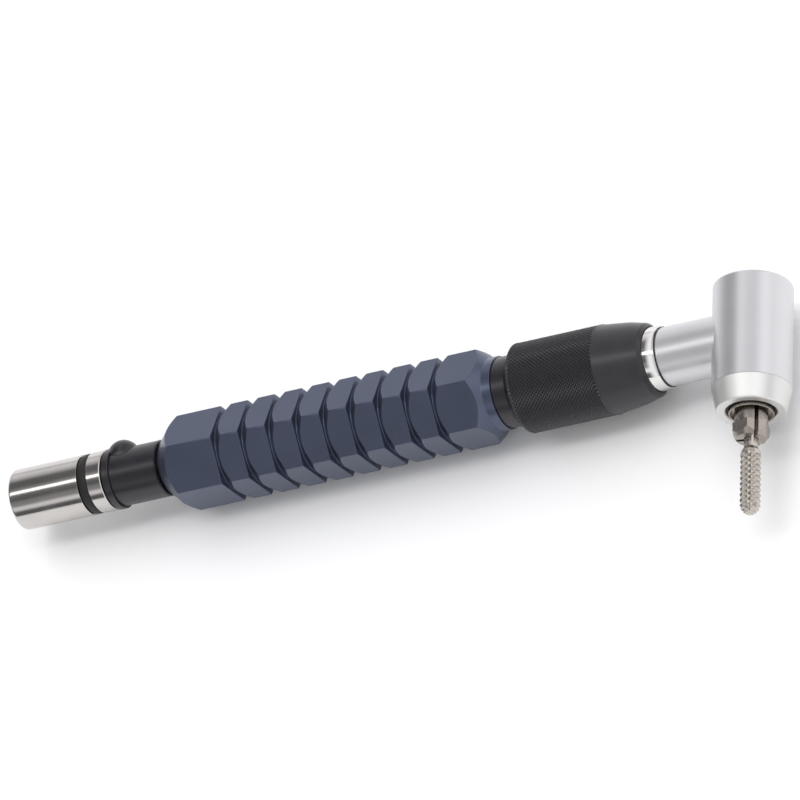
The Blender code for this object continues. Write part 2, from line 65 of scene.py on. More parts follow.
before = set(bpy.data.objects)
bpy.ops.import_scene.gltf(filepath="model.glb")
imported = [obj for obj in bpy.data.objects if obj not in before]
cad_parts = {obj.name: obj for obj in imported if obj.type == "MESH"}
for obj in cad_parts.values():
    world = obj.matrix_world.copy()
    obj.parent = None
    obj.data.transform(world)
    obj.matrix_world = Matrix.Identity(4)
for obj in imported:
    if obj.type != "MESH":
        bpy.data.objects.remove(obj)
CAD_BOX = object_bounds()

MM = 0.001
ADAPTOR_LOW, ADAPTOR_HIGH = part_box("hose_adaptor")
HEAD_LOW, HEAD_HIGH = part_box("head_housing")
BURR_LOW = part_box("burr")[0]
CAP_LOW, CAP_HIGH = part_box("bearing_cap")

CROSSING = Vector((
    (CAP_LOW.x + CAP_HIGH.x) / 2,
    (ADAPTOR_LOW.y + ADAPTOR_HIGH.y) / 2,
    (ADAPTOR_LOW.z + ADAPTOR_HIGH.z) / 2,
))
# On the handle, local X is straight up and local Z runs back towards the hose.
HANDLE = Matrix.Translation(CROSSING) @ Matrix((
    (0, 0, -1, 0),
    (0, 1, 0, 0),
    (1, 0, 0, 0),
    (0, 0, 0, 1),
))
# On the spindle, local X is the tool's +X, local Y is up and local Z runs towards the burr.
SPINDLE = Matrix.Translation(CROSSING) @ Matrix((
    (1, 0, 0, 0),
    (0, 0, -1, 0),
    (0, 1, 0, 0),
    (0, 0, 0, 1),
))

# Distances and radii in millimetres. The first six come from the frame, and the others are the
# sizes that the frame's own pieces were made to.
ADAPTOR_RADIUS = (ADAPTOR_HIGH.z - ADAPTOR_LOW.z) / 2 / MM
ADAPTOR_END = (CROSSING.x - ADAPTOR_LOW.x) / MM
ADAPTOR_FRONT = (CROSSING.x - ADAPTOR_HIGH.x) / MM
HEAD_RADIUS = (HEAD_HIGH.x - HEAD_LOW.x) / 2 / MM
HEAD_TOP = (CROSSING.y - HEAD_HIGH.y) / MM
BURR_TIP = (CROSSING.y - BURR_LOW.y) / MM
BAND_REAR = 158.4
BAND_FRONT = 156.1
BAND_FLOOR = 5.7
PORT_RADIUS = 3.4
PORT_DEPTH = 13.1
STEM_RADIUS = 4.95
PLAY = 0.1                 # left all round between two pieces that fit together
RING_REAR = 152.5
RING_STEP = 150.9
RING_FRONT = 139.8
RING_COLLAR_RADIUS = 6.6
RING_RADIUS = 6.1
LUG_POSITION = 149.1
LUG_ANGLE = 58.0           # degrees from straight up towards +Y
LUG_HEIGHT = 7.9
LUG_WIDTH = 6.2
GRIP_REAR = 139.0
GRIP_FRONT = 58.5
GRIP_FLAT_ANGLE = -34.5    # degrees from straight up to the middle of one flat
GRIP_BOSS_RADIUS = 6.0
GRIP_NOSE_RADIUS = 7.95
GRIP_NOSE_REAR = 60.55
GRIP_BORE = 6.6
GRIP_BORE_END = 129.3
FIRST_GROOVE = 124.0
GROOVE_PITCH = 6.5
GROOVE_COUNT = 9
GROOVE_FLOOR_RADIUS = 8.4
GROOVE_FLOOR_LENGTH = 0.4
GROOVE_RAMP_LENGTH = 2.3
BUSH_RADIUS = 7.66
BUSH_FRONT = 33.0
BUSH_SPIGOT_END = 61.9
BUSH_BORE = 5.6
BUSH_THROAT = 3.6
BUSH_THROAT_FRONT = 58.4
NUT_REAR = 55.0
NUT_RADIUS = 9.75
NUT_CHAMFER = 1.3
KNURL_FRONT = 33.5
NUT_LIP = 22.9
NUT_OPENING = 7.06
NUT_THREAD = 7.76
NUT_SHOULDER = 27.5
NECK_RING_FRONT = 20.3
NECK_RING_REAR = 27.5
NECK_RING_RADIUS = 6.95
NECK_SEAL_FRONT = 19.95
NECK_SEAL_REAR = 20.2
NECK_SEAL_RADIUS = 6.52
NECK_RADIUS = 6.34
NECK_COLLAR_FRONT = 27.7
NECK_COLLAR_REAR = 32.9
NECK_COLLAR_RADIUS = 7.6
NECK_BORE = 4.6
NECK_FRONT = 3.0
HEAD_BORE = 7.2
HEAD_SHOULDER = -6.9
HEAD_POCKET = 5.1
HEAD_POCKET_END = -10.3
CAP_LINE = 12.3
CAP_END = 17.6
CAP_END_RADIUS = 7.45
CAP_OPENING = 5.47
CAP_SPIGOT_START = 10.1
DUST_SEAL_START = 13.4
SPINDLE_START = -10.2
SPINDLE_JOURNAL = 2.0
SPINDLE_JOURNAL_END = -6.95
SPINDLE_SEAT = 2.3
SPINDLE_SEAT_END = 5.2
SPINDLE_SHOULDER = 4.0
SPINDLE_NOSE_START = 10.4
SPINDLE_NOSE_RADIUS = 4.85
SPINDLE_END = 18.1
SPINDLE_DISH = 17.2
SPINDLE_BORE = 2.9
SPINDLE_BORE_START = 6.5
COLLET_START = 7.0
COLLET_BORE = 1.6
COLLET_BODY_RADIUS = 2.8
COLLET_BODY_END = 17.3
COLLET_NECK_RADIUS = 3.6
COLLET_HEX_START = 20.7
COLLET_END = 24.0
COLLET_ACROSS_FLATS = 7.2
COLLET_SLOT_ANGLE = 45.0
COLLET_SLOT_COUNT = 3
SHANK_START = 8.5
SHANK_RADIUS = 1.5
BURR_SHOULDER = 26.0
BURR_RADIUS = 2.27

HEX_SIDES = 6
TURN_STEPS = 96

BEARINGS = ("rotor_rear", "rotor_front", "neck_rear", "neck_front",
            "spindle_upper", "spindle_lower")


def linear(hex_colour):
    """The linear colour of an sRGB hex code."""
    channels = [int(hex_colour[place:place + 2], 16) / 255 for place in (1, 3, 5)]
    return [c / 12.92 if c <= 0.04045 else ((c + 0.055) / 1.055) ** 2.4 for c in channels]


def swatch(title, words, hex_colour):
    """A colour that a user can change."""
    return FloatVectorProperty(name=title, description=words, default=linear(hex_colour),
                               size=3, min=0, max=1, subtype="COLOR")


def length(title, words, millimetres):
    """A length that a user can change."""
    return FloatProperty(name=title, description=words, default=millimetres * MM, min=0,
                         unit="LENGTH", subtype="DISTANCE", precision=5)


class GrinderSizes(bpy.types.PropertyGroup):
    edge: length("Broken edge", "Width of the small bevel on turned edges", 0.12)
    grip_edge: length("Grip edge", "Width of the bevel round the grip's flats", 0.14)
    across_flats: length("Grip across flats", "Distance between two opposite grip flats", 18.0)
    knurl_pitch: length("Knurl pitch", "Distance between two ridges of the nut's knurl", 0.86)
    knurl_depth: length("Knurl depth", "Depth of the nut's knurl", 0.24)
    burr_pitch: length("Burr pitch", "Distance between two teeth along the burr", 1.35)
    burr_depth: length("Burr depth", "Depth of the burr's flutes", 0.34)
    burr_teeth: IntProperty(name="Burr teeth", description="Teeth round the burr", default=9,
                            min=4, max=40)
    slot_width: length("Collet slot", "Width of the slots in the collet", 0.9)


class GrinderColours(bpy.types.PropertyGroup):
    turned_steel: swatch("Turned steel", "Hose adaptor", "#cbc7c4")
    ground_steel: swatch("Ground steel", "Collet, spindle and the parts inside", "#aaa299")
    chrome: swatch("Chrome", "Neck ring", "#e4e2e0")
    anodise: swatch("Anodised grip", "Blue-grey oxide on the grip", "#545b6e")
    black_oxide: swatch("Black oxide", "Union nut, nose and throttle ring", "#17151b")
    aluminium: swatch("Satin aluminium", "Head and neck", "#d6d6d8")
    pale_aluminium: swatch("Pale aluminium", "Bearing cap", "#dededc")
    rubber: swatch("Rubber", "Seals and the adaptor's band", "#101012")
    bronze: swatch("Sintered bronze", "Inlet filter", "#8c6b3f")
    brass: swatch("Brass", "Bearing cages", "#b89850")
    laminate: swatch("Vane laminate", "Motor vanes", "#6b4b2e")
    carbide: swatch("Carbide", "Burr", "#d6cfc6")
    floor: swatch("Floor", "Pale studio floor", "#f7f7f7")


class StageSettings(bpy.types.PropertyGroup):
    distance: FloatProperty(name="Camera distance", description="From the tool to the camera",
                            default=6.0, min=0.5, unit="LENGTH", subtype="DISTANCE")
    view_width: FloatProperty(name="View width", description="Width of what the camera sees",
                              default=0.16842, min=0.01, unit="LENGTH", subtype="DISTANCE")
    key_power: FloatProperty(name="Key light", description="Power of the broad overhead light",
                             default=38.0, min=0, unit="POWER")
    strip_power: FloatProperty(name="Strip light", description="Power of the strip overhead",
                               default=6.0, min=0, unit="POWER")
    tent: FloatProperty(name="Light tent", description="Strength of the light tent all round",
                        default=1.0, min=0)


def sizes():
    return bpy.context.scene.grinder_sizes


def colours():
    return bpy.context.scene.grinder_colours


# ---------------------------------------------------------------- shapes


def lathe(outline, steps=TURN_STEPS):
    """Turn a (distance, radius) outline about the axis. It closes on itself or on the axis."""
    mesh = bmesh.new()
    rim = [mesh.verts.new((radius * MM, 0, distance * MM)) for distance, radius in outline]
    edges = [mesh.edges.new(pair) for pair in zip(rim, rim[1:])]
    if outline[0][1] > 0:
        edges.append(mesh.edges.new((rim[-1], rim[0])))
    bmesh.ops.spin(mesh, geom=rim + edges, axis=(0, 0, 1), cent=(0, 0, 0), angle=tau,
                   steps=steps, use_merge=True)
    bmesh.ops.remove_doubles(mesh, verts=mesh.verts, dist=0.0005 * MM)
    bmesh.ops.recalc_face_normals(mesh, faces=mesh.faces)
    return mesh


def tube(start, end, inner, outer):
    return lathe([(start, inner), (start, outer), (end, outer), (end, inner)])


def plug(start, end, radius):
    """A solid round bar on the axis, to cut a bore with."""
    return lathe([(start, 0), (start, radius), (end, radius), (end, 0)])


def arc(centre, radius, first, last, steps):
    """Outline points on an arc, with angles from the outward direction towards +distance."""
    points = []
    for step in range(steps + 1):
        angle = radians(first + (last - first) * step / steps)
        points.append((centre[0] + radius * sin(angle), centre[1] + radius * cos(angle)))
    return points


def stations(start, end, count):
    """Distances that share out a length evenly."""
    return [start + (end - start) * step / count for step in range(count + 1)]


def break_edges(mesh, width, sharper=28):
    """Bevel every edge that turns by more than an angle, as a file or a tumbler would."""
    edges = [edge for edge in mesh.edges
             if len(edge.link_faces) == 2 and edge.calc_face_angle(0) > radians(sharper)]
    bmesh.ops.bevel(mesh, geom=edges, offset=width, offset_type="OFFSET", segments=2,
                    profile=0.5, affect="EDGES", clamp_overlap=True, material=-1)
    return mesh


def trim_to_hexagon(mesh, across_flats, first_flat):
    """Slice six flats off a turned body and close each cut."""
    for side in range(HEX_SIDES):
        angle = radians(first_flat + side * 360 / HEX_SIDES)
        outward = Vector((cos(angle), sin(angle), 0))
        geometry = mesh.verts[:] + mesh.edges[:] + mesh.faces[:]
        cut = bmesh.ops.bisect_plane(mesh, geom=geometry, dist=0.0002 * MM,
                                     plane_co=outward * across_flats / 2, plane_no=outward,
                                     clear_outer=True)
        rims = [item for item in cut["geom_cut"]
                if isinstance(item, bmesh.types.BMEdge) and item.is_boundary]
        bmesh.ops.edgeloop_fill(mesh, edges=rims)
    bmesh.ops.recalc_face_normals(mesh, faces=mesh.faces)
    return mesh


def cross_grooves(mesh, steps, depth, find):
    """Press two crossed sets of grooves into a turned surface, on a grid of rows and steps.

    Every second point of the grid sinks, and each four-sided face folds between its two sunk
    points, so four facets rise to every point that stays. find gives a point's row and its
    share of the depth, from its distance and its radius.
    """
    sunk = set()
    for vert in mesh.verts:
        radius = hypot(vert.co.x, vert.co.y)
        row, share = find(vert.co.z / MM, radius / MM)
        column = round(atan2(vert.co.y, vert.co.x) / tau * steps)
        if share and (row + column) % 2:
            scale = 1 - share * depth / radius
            vert.co.x *= scale
            vert.co.y *= scale
            sunk.add(vert)
    for face in mesh.faces[:]:
        corners = list(face.verts)
        if len(corners) != 4:
            continue
        for first in (0, 1):
            if corners[first] in sunk and corners[first + 2] in sunk:
                bmesh.utils.face_split(face, corners[first], corners[first + 2])
                break
    return mesh


def boolean(mesh, operation, tool):
    """Join, cut or trim one mesh with another, and hand back the result."""
    scratch = []
    for part in (mesh, tool):
        data = bpy.data.meshes.new("scratch")
        part.to_mesh(data)
        part.free()
        item = bpy.data.objects.new("scratch", data)
        bpy.context.collection.objects.link(item)
        scratch.append(item)
    modifier = scratch[0].modifiers.new("shape", "BOOLEAN")
    modifier.operation = operation
    modifier.solver = "EXACT"
    modifier.object = scratch[1]
    bpy.context.view_layer.update()
    evaluated = scratch[0].evaluated_get(bpy.context.evaluated_depsgraph_get())
    result = bmesh.new()
    result.from_mesh(evaluated.to_mesh())
    evaluated.to_mesh_clear()
    for item in scratch:
        data = item.data
        bpy.data.objects.remove(item, do_unlink=True)
        bpy.data.meshes.remove(data)
    if not result.faces:
        raise RuntimeError("the shape was lost in a boolean cut")
    return result


def bar(inner, outer, width, angle, start, end):
    """A flat bar that stands radially on the axis, as a slitting saw would leave its slot."""
    mesh = bmesh.new()
    middle = Matrix.Translation(((inner + outer) / 2 * MM, 0, (start + end) / 2 * MM))
    scale = Matrix.Diagonal(((outer - inner) * MM, width * MM, (end - start) * MM, 1))
    bmesh.ops.create_cube(mesh, size=1,
                          matrix=Matrix.Rotation(radians(angle), 4, "Z") @ middle @ scale)
    return mesh


def lay(mesh, name, axis, finish, body, node, sharp=24):
    """Lay a piece on its axis, give it its finish, and let it stand for its frame node."""
    bmesh.ops.transform(mesh, matrix=axis, verts=mesh.verts)
    data = bpy.data.meshes.new(name)
    mesh.to_mesh(data)
    mesh.free()
    data.shade_smooth()
    data.set_sharp_from_angle(angle=radians(sharp))
    data.materials.append(finish)
    piece = bpy.data.objects.new(name, data)
    bpy.context.collection.objects.link(piece)
    # Broad faces keep their own direction, so a broken edge doesn't bend the light across them.
    weighting = piece.modifiers.new("broad_faces_first", "WEIGHTED_NORMAL")
    weighting.mode = "FACE_AREA"
    weighting.keep_sharp = True
    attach(piece, body)
    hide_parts(node)
    return piece


# ---------------------------------------------------------------- finishes

# Sockets of a Mix node that mixes colours, which share their names with its other sockets.
MIX_FACTOR, MIX_A, MIX_B, MIX_RESULT = 0, 6, 7, 2


def node(tree, kind, links=(), **settings):
    """Add one node: settings by name, inputs as {socket: value or output} in links."""
    item = tree.nodes.new(kind)
    for name, value in settings.items():
        setattr(item, name, value)
    for socket, value in dict(links).items():
        if isinstance(value, bpy.types.NodeSocket):
            tree.links.new(value, item.inputs[socket])
        else:
            item.inputs[socket].default_value = value
    return item


def start_finish(name, colour, metallic, roughness):
    """An empty finish with its shader's own values set."""
    made = bpy.data.materials.get(name)
    if made:
        return made, None, None
    made = bpy.data.materials.new(name)
    made.use_nodes = True
    shader = made.node_tree.nodes["Principled BSDF"]
    shader.inputs["Base Color"].default_value = (*colour, 1)
    shader.inputs["Metallic"].default_value = metallic
    shader.inputs["Roughness"].default_value = roughness
    made.diffuse_color = (*colour, 1)
    return made, made.node_tree, shader


def tone(colour, factor):
    """A darker or lighter tone of a colour."""
    return (*[min(1, channel * factor) for channel in colour], 1)


def vary(tree, shader, colour, scale, darker, lighter):
    """Let the colour drift between two tones of itself over a soft noise."""
    place = node(tree, "ShaderNodeTexCoord").outputs["Object"]
    clouds = node(tree, "ShaderNodeTexNoise",
                  {"Vector": place, "Scale": scale, "Detail": 4.0, "Roughness": 0.6})
    mix = node(tree, "ShaderNodeMix", {MIX_FACTOR: clouds.outputs["Fac"],
                                       MIX_A: tone(colour, darker), MIX_B: tone(colour, lighter)},
               data_type="RGBA")
    tree.links.new(mix.outputs[MIX_RESULT], shader.inputs["Base Color"])
    return clouds.outputs["Fac"]


def roughen(tree, shader, factor, low, high):
    """Let the roughness drift between two values."""
    spread = node(tree, "ShaderNodeMapRange", {"Value": factor, "To Min": low, "To Max": high})
    tree.links.new(spread.outputs["Result"], shader.inputs["Roughness"])


def bump(tree, shader, height, depth):
    """Raise the surface by a pattern, depth in metres."""
    item = node(tree, "ShaderNodeBump", {"Height": height, "Distance": depth})
    tree.links.new(item.outputs["Normal"], shader.inputs["Normal"])


def per_mm(millimetres):
    """The noise scale whose features are this wide."""
    return 1 / (millimetres * MM)


def grain(tree, shader, width, depth, detail=2.0, rings=None):
    """Raise a fine noise, width and depth in millimetres: even, or in rings about X or Y."""
    place = node(tree, "ShaderNodeTexCoord").outputs["Object"]
    if rings:
        squeeze = {"X": (1, 0.02, 0.02), "Y": (0.02, 1, 0.02)}[rings]
        place = node(tree, "ShaderNodeMapping",
                     {"Vector": place, "Scale": squeeze}).outputs["Vector"]
    noise = node(tree, "ShaderNodeTexNoise",
                 {"Vector": place, "Scale": per_mm(width), "Detail": detail})
    bump(tree, shader, noise.outputs["Fac"], depth * MM)


def turned_steel():
    # Bright steel off the lathe: a feed line every 0.1 mm, drawn here every 0.3 mm so that it
    # shows, under a thin film of oil that evens the gloss.
    colour = colours().turned_steel
    made, tree, shader = start_finish("Turned_steel", colour, 1.0, 0.14)
    if tree:
        oil = vary(tree, shader, colour, per_mm(5), 0.86, 1.05)
        roughen(tree, shader, oil, 0.1, 0.18)
        grain(tree, shader, 0.3, 0.0015, detail=3.0, rings="X")
    return made


def ground_steel():
    # Hardened steel, centreless ground: close short scratches about 0.15 mm apart.
    colour = colours().ground_steel
    made, tree, shader = start_finish("Ground_steel", colour, 1.0, 0.28)
    if tree:
        soil = vary(tree, shader, colour, per_mm(1.5), 0.72, 1.12)
        roughen(tree, shader, soil, 0.2, 0.36)
        grain(tree, shader, 0.15, 0.003, detail=4.0, rings="Y")
    return made


def chrome():
    # Decorative chrome plate: mirror bright, with the faint wave of the polishing wheel.
    colour = colours().chrome
    made, tree, shader = start_finish("Chrome_plate", colour, 1.0, 0.07)
    if tree:
        wave = vary(tree, shader, colour, per_mm(4), 0.94, 1.02)
        roughen(tree, shader, wave, 0.05, 0.1)
        bump(tree, shader, wave, 0.01 * MM)
    return made


def anodised_aluminium():
    # Milled aluminium, bead blasted and then dyed: a fine matt grain of about 0.2 mm over a
    # metal gloss, and a little unevenness in the dye.
    colour = colours().anodise
    made, tree, shader = start_finish("Blue_grey_anodise", colour, 0.75, 0.3)
    if tree:
        dye = vary(tree, shader, colour, per_mm(14), 0.9, 1.1)
        roughen(tree, shader, dye, 0.26, 0.34)
        grain(tree, shader, 0.2, 0.004)
    return made


def black_oxide():
    # Chemically blacked steel, oiled: deep black with a soft gloss that goes brown-grey where
    # the light grazes it.
    colour = colours().black_oxide
    made, tree, shader = start_finish("Black_oxide_steel", colour, 0.0, 0.32)
    if tree:
        shader.inputs["IOR"].default_value = 1.55
        bloom = vary(tree, shader, colour, per_mm(2.5), 0.7, 1.5)
        roughen(tree, shader, bloom, 0.26, 0.38)
        grain(tree, shader, 0.25, 0.003)
    return made


def satin_aluminium():
    # Turned aluminium, fine bead blasted and clear anodised: an even silky grey-white.
    colour = colours().aluminium
    made, tree, shader = start_finish("Satin_aluminium", colour, 0.85, 0.36)
    if tree:
        haze = vary(tree, shader, colour, per_mm(9), 0.95, 1.04)
        roughen(tree, shader, haze, 0.32, 0.4)
        grain(tree, shader, 0.2, 0.003)
    return made


def pale_aluminium():
    # The cap's aluminium is a shade lighter than the head's.
    colour = colours().pale_aluminium
    made, tree, shader = start_finish("Pale_aluminium", colour, 0.8, 0.4)
    if tree:
        haze = vary(tree, shader, colour, per_mm(7), 0.96, 1.03)
        roughen(tree, shader, haze, 0.36, 0.44)
        grain(tree, shader, 0.25, 0.002, rings="Y")
    return made


def rubber():
    # Moulded nitrile rubber: matt black with a faint pebble from the mould.
    colour = colours().rubber
    made, tree, shader = start_finish("Nitrile_rubber", colour, 0.0, 0.55)
    if tree:
        pebble = vary(tree, shader, colour, per_mm(0.4), 0.7, 1.4)
        roughen(tree, shader, pebble, 0.48, 0.64)
        bump(tree, shader, pebble, 0.01 * MM)
    return made


def sintered_bronze():
    # Bronze balls of about 0.3 mm, pressed and baked together until they only just join.
    colour = colours().bronze
    made, tree, shader = start_finish("Sintered_bronze", colour, 0.9, 0.5)
    if tree:
        place = node(tree, "ShaderNodeTexCoord").outputs["Object"]
        balls = node(tree, "ShaderNodeTexVoronoi", {"Vector": place, "Scale": per_mm(0.3)})
        # Painted shade and highlight: the colour goes darker from each ball's middle out into the
        # sunk gaps between the balls, as the shade in the pores, and a little lighter on the
        # balls' middles.
        ball_highlight_and_pore_shade = node(tree, "ShaderNodeMix", {MIX_FACTOR: balls.outputs["Distance"],
                                            MIX_A: tone(colour, 1.2), MIX_B: tone(colour, 0.3)},
                    data_type="RGBA")
        tree.links.new(ball_highlight_and_pore_shade.outputs[MIX_RESULT], shader.inputs["Base Color"])
        bump(tree, shader, balls.outputs["Distance"], -0.12 * MM)
    return made


def brass():
    # Pressed brass sheet, tumbled: warm yellow with tiny dents and dull spots.
    colour = colours().brass
    made, tree, shader = start_finish("Pressed_brass", colour, 1.0, 0.3)
    if tree:
        dents = vary(tree, shader, colour, per_mm(0.8), 0.8, 1.1)
        roughen(tree, shader, dents, 0.22, 0.4)
        bump(tree, shader, dents, 0.01 * MM)
    return made


def vane_laminate():
    # Cotton cloth in phenolic resin: brown, with the weave's threads about 0.4 mm apart.
    colour = colours().laminate
    made, tree, shader = start_finish("Phenolic_laminate", colour, 0.0, 0.5)
    if tree:
        place = node(tree, "ShaderNodeTexCoord").outputs["Object"]
        weave = node(tree, "ShaderNodeTexChecker",
                     {"Vector": place, "Scale": per_mm(0.4), "Color1": tone(colour, 0.85),
                      "Color2": tone(colour, 1.2)})
        tree.links.new(weave.outputs["Color"], shader.inputs["Base Color"])
        bump(tree, shader, weave.outputs["Fac"], 0.01 * MM)
    return made


def carbide():
    # Ground tungsten carbide: hard bright tooth faces, and a strong random mottle in its colour.
    colour = colours().carbide
    made, tree, shader = start_finish("Tungsten_carbide", colour, 1.0, 0.22)
    if tree:
        mottle = vary(tree, shader, colour, per_mm(0.5), 0.45, 1.2)
        roughen(tree, shader, mottle, 0.16, 0.34)
        grain(tree, shader, 0.12, 0.004)
    return made


def matt_paper():
    # Matt paper sweep: almost white, with a breath of mottling far below what shows.
    colour = colours().floor
    made, tree, shader = start_finish("Matt_paper", colour, 0.0, 0.9)
    if tree:
        vary(tree, shader, colour, per_mm(40), 0.995, 1.0)
    return made


# ---------------------------------------------------------------- pieces


class Adaptor(bpy.types.Operator):
    """Turn the hose adaptor with its threaded port, and the band in its groove"""
    bl_idname = "grinder.adaptor"
    bl_label = "Hose adaptor"

    def execute(self, context):
        edge = 0.8
        cavity = STEM_RADIUS + PLAY
        floor = ADAPTOR_END - PORT_DEPTH
        outline = [(floor, PORT_RADIUS)]
        for turn in stations(floor + 1.0, ADAPTOR_END - 2.2, 9):
            # The thread is drawn as a shallow groove at each turn of the port.
            outline += [(turn, PORT_RADIUS), (turn + 0.5, PORT_RADIUS + 0.35)]
        outline += [(ADAPTOR_END - edge, PORT_RADIUS), (ADAPTOR_END, PORT_RADIUS + edge)]
        outline += arc((ADAPTOR_END - edge, ADAPTOR_RADIUS - edge), edge, 90, 0, 8)
        outline += [(BAND_REAR, ADAPTOR_RADIUS), (BAND_REAR, BAND_FLOOR), (BAND_FRONT, BAND_FLOOR),
                    (BAND_FRONT, ADAPTOR_RADIUS), (ADAPTOR_FRONT + 0.2, ADAPTOR_RADIUS),
                    (ADAPTOR_FRONT, ADAPTOR_RADIUS - 0.2), (ADAPTOR_FRONT, cavity),
                    (floor, cavity)]
        lay(break_edges(lathe(outline), sizes().edge / 2), "adaptor_body", HANDLE, turned_steel(),
            "housing", "hose_adaptor")
        centre = (BAND_REAR + BAND_FRONT) / 2
        half = (BAND_REAR - BAND_FRONT) / 2 - PLAY
        band_radius = 6.5
        outline = [(centre + half, BAND_FLOOR + PLAY), (centre - half, BAND_FLOOR + PLAY)]
        outline += [(centre + half * sin(t), band_radius - 0.35 * (1 - cos(t)))
                    for t in (radians(angle) for angle in range(-90, 91, 15))]
        lay(lathe(outline), "adaptor_band_ring", HANDLE, rubber(), "housing",
            "adaptor_band")
        return {"FINISHED"}


class ThrottleRing(bpy.types.Operator):
    """Turn the throttle ring and blend its thumb lug into it"""
    bl_idname = "grinder.throttle_ring"
    bl_label = "Throttle ring"

    def execute(self, context):
        bore = STEM_RADIUS + PLAY
        chamfer = 0.25
        outline = [(RING_FRONT, bore), (RING_FRONT, RING_RADIUS - chamfer),
                   (RING_FRONT + chamfer, RING_RADIUS), (RING_STEP, RING_RADIUS),
                   (RING_STEP, RING_COLLAR_RADIUS - 0.1), (RING_STEP + 0.1, RING_COLLAR_RADIUS),
                   (RING_REAR - 0.15, RING_COLLAR_RADIUS), (RING_REAR, RING_COLLAR_RADIUS - 0.15),
                   (RING_REAR, bore)]
        ring = lathe(outline)
        half = LUG_WIDTH / 2
        rise = LUG_HEIGHT - RING_RADIUS
        dome = (half ** 2 + rise ** 2) / (2 * rise)
        lug = bmesh.new()
        place = (Matrix.Rotation(radians(LUG_ANGLE), 4, "Z")
                 @ Matrix.Translation(((LUG_HEIGHT - dome) * MM, 0, LUG_POSITION * MM)))
        bmesh.ops.create_uvsphere(lug, u_segments=64, v_segments=32, radius=dome * MM,
                                  matrix=place)
        ring = boolean(ring, "UNION", lug)
        ring = boolean(ring, "DIFFERENCE", plug(RING_FRONT - 3, RING_REAR + 3, bore))
        lay(ring, "throttle_sleeve", HANDLE, black_oxide(), "throttle",
            "throttle_ring", sharp=35)
        return {"FINISHED"}


class Grip(bpy.types.Operator):
    """Turn the grip with its nine saw-tooth grooves and mill it to a hexagon"""
    bl_idname = "grinder.grip"
    bl_label = "Hexagon grip"

    def execute(self, context):
        across_flats = sizes().across_flats
        over = across_flats / MM / 2 / cos(pi / HEX_SIDES) + 0.25
        outline = [(GRIP_REAR, GRIP_BOSS_RADIUS), (GRIP_REAR - over + GRIP_BOSS_RADIUS, over)]
        for groove in range(GROOVE_COUNT):
            wall = FIRST_GROOVE - groove * GROOVE_PITCH
            ramp = wall - GROOVE_FLOOR_LENGTH
            outline += [(wall, over), (wall, GROOVE_FLOOR_RADIUS), (ramp, GROOVE_FLOOR_RADIUS),
                        (ramp - GROOVE_RAMP_LENGTH, over)]
        outline += [(GRIP_NOSE_REAR + over - GRIP_NOSE_RADIUS, over),
                    (GRIP_NOSE_REAR, GRIP_NOSE_RADIUS), (GRIP_FRONT, GRIP_NOSE_RADIUS),
                    (GRIP_FRONT, GRIP_BORE), (GRIP_BORE_END, GRIP_BORE),
                    (GRIP_BORE_END, STEM_RADIUS + PLAY), (GRIP_REAR, STEM_RADIUS + PLAY)]
        body = trim_to_hexagon(lathe(outline, 144), across_flats, GRIP_FLAT_ANGLE)
        break_edges(body, sizes().grip_edge, sharper=20)
        lay(body, "hexagon_grip", HANDLE, anodised_aluminium(), "housing",
            "grip_housing")
        return {"FINISHED"}


class HeadJoint(bpy.types.Operator):
    """Turn the threaded nose, the knurled union nut and the chrome ring with its seal"""
    bl_idname = "grinder.head_joint"
    bl_label = "Union nut and neck ring"

    def execute(self, context):
        spigot = GRIP_BORE - PLAY
        bush = [(BUSH_SPIGOT_END, BUSH_THROAT), (BUSH_SPIGOT_END, spigot),
                (GRIP_FRONT - PLAY, spigot), (GRIP_FRONT - PLAY, BUSH_RADIUS),
                (BUSH_FRONT, BUSH_RADIUS), (BUSH_FRONT, BUSH_BORE),
                (BUSH_THROAT_FRONT, BUSH_BORE), (BUSH_THROAT_FRONT, BUSH_THROAT)]
        lay(break_edges(lathe(bush), sizes().edge), "nose_sleeve", HANDLE, black_oxide(),
            "housing", "nose_bush")

        pitch = sizes().knurl_pitch / MM
        diamonds = round(tau * NUT_RADIUS / pitch)
        knurl_rear = NUT_REAR - NUT_CHAMFER
        rows = 2 * round((knurl_rear - KNURL_FRONT) / pitch)
        outline = [(NUT_REAR, NUT_THREAD), (NUT_REAR, 8.3)]
        outline += [(distance, NUT_RADIUS) for distance in stations(knurl_rear, KNURL_FRONT, rows)]
        outline += [(32.6, 9.5), (29.7, 9.2), (26.8, 8.8), (25.4, 8.45), (23.6, 8.0),
                    (NUT_LIP, NUT_OPENING + 0.25), (NUT_LIP, NUT_OPENING),
                    (NUT_SHOULDER, NUT_OPENING), (NUT_SHOULDER, NUT_THREAD)]
        nut = lathe(outline, 2 * diamonds)
        margin = 0.3 * pitch

        def find(distance, radius):
            row = round((distance - knurl_rear) / (KNURL_FRONT - knurl_rear) * rows)
            knurled = KNURL_FRONT + margin < distance < knurl_rear - margin
            return row, knurled and radius > NUT_RADIUS - 0.01

        cross_grooves(nut, 2 * diamonds, sizes().knurl_depth, find)
        lay(nut, "knurled_nut", HANDLE, black_oxide(), "housing", "union_nut",
            sharp=16)

        bore = NECK_RADIUS + 0.06
        ring = [(NECK_RING_FRONT, bore), (NECK_RING_FRONT, NECK_RING_RADIUS - 0.35),
                (NECK_RING_FRONT + 0.3, NECK_RING_RADIUS - 0.2),
                (NECK_RING_FRONT + 2.1, NECK_RING_RADIUS),
                (NECK_RING_REAR, NECK_RING_RADIUS), (NECK_RING_REAR, bore)]
        lay(break_edges(lathe(ring), sizes().edge / 2), "chrome_neck_ring", HANDLE, chrome(),
            "housing", "neck_ring")
        seal = tube(NECK_SEAL_FRONT, NECK_SEAL_REAR, bore, NECK_SEAL_RADIUS)
        lay(break_edges(seal, sizes().edge / 2), "neck_seal_ring", HANDLE, rubber(), "housing",
            "neck_seal")
        return {"FINISHED"}


